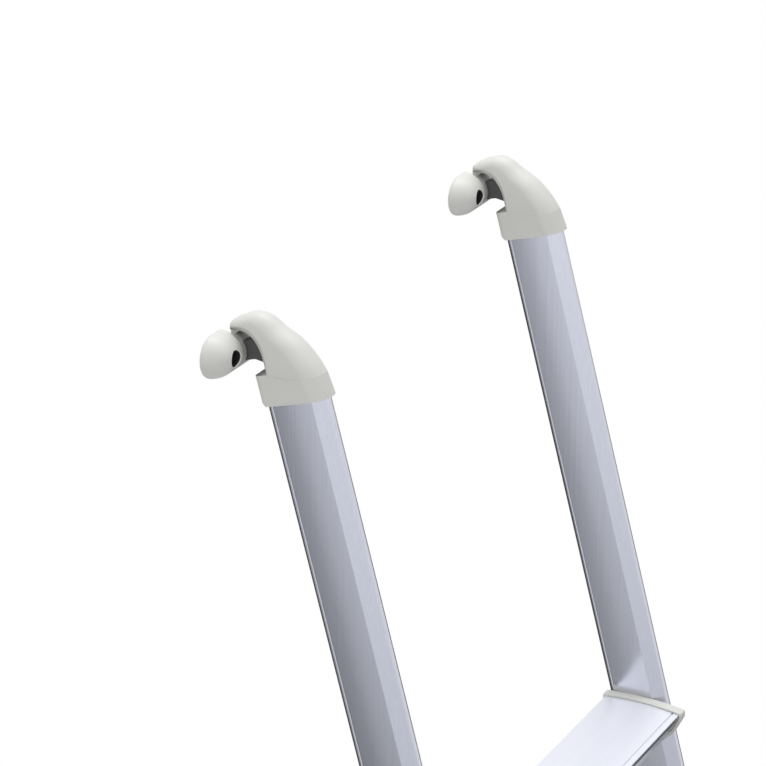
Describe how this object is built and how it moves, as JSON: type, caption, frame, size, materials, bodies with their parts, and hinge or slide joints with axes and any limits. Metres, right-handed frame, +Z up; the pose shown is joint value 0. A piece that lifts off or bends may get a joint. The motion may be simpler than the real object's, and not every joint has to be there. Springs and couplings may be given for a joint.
{
  "type": "fixed wall ladder",
  "caption": "Leaning aluminium ladder with wide treads; hooded plastic elbows at the top carry pivoting wall feet, flat shoes stand on the floor.",
  "frame": {"origin": "centre of the flat under side of the left shoe's sole, on the floor", "axes": "+Z up, +X from the climber's left stile to the right one, +Y towards the wall that the ladder leans on"},
  "size_m": [0.5358, 0.6345, 2.0033],
  "materials": {
    "anodised_aluminium": "satin, anodised",
    "grey_plastic": "smooth, moulded",
    "black_plastic": "matt, moulded",
    "steel_pin": "plain turned",
    "black_rubber": "matt"
  },
  "bodies": {
    "ladder": {"left_stile": "anodised_aluminium", "left_top_elbow": "grey_plastic", "left_hinge_arm": "black_plastic", "left_knuckle_cover": "grey_plastic", "left_shoe": "grey_plastic", "left_sole": "black_rubber", "right_stile": "anodised_aluminium", "right_top_elbow": "grey_plastic", "right_hinge_arm": "black_plastic", "right_knuckle_cover": "grey_plastic", "right_shoe": "grey_plastic", "right_sole": "black_rubber", "tread_1": "anodised_aluminium", "left_cap_1": "grey_plastic", "right_cap_1": "grey_plastic", "tread_2": "anodised_aluminium", "left_cap_2": "grey_plastic", "right_cap_2": "grey_plastic", "tread_3": "anodised_aluminium", "left_cap_3": "grey_plastic", "right_cap_3": "grey_plastic", "tread_4": "anodised_aluminium", "left_cap_4": "grey_plastic", "right_cap_4": "grey_plastic", "tread_5": "anodised_aluminium", "left_cap_5": "grey_plastic", "right_cap_5": "grey_plastic", "tread_6": "anodised_aluminium", "left_cap_6": "grey_plastic", "right_cap_6": "grey_plastic"},
    "left_foot": {"left_wall_foot": "grey_plastic", "left_pivot_pin": "steel_pin"},
    "right_foot": {"right_wall_foot": "grey_plastic", "right_pivot_pin": "steel_pin"}
  },
  "joints": [
    {"name": "left_foot_pivot", "type": "hinge", "parent": "ladder", "child": "left_foot", "pos_m": [0, 0.57292, 1.96844], "axis": [1, 0, 0], "range_deg": [-15, 10]},
    {"name": "right_foot_pivot", "type": "hinge", "parent": "ladder", "child": "right_foot", "pos_m": [0.45, 0.57292, 1.96844], "axis": [1, 0, 0], "range_deg": [-15, 10]}
  ]
}
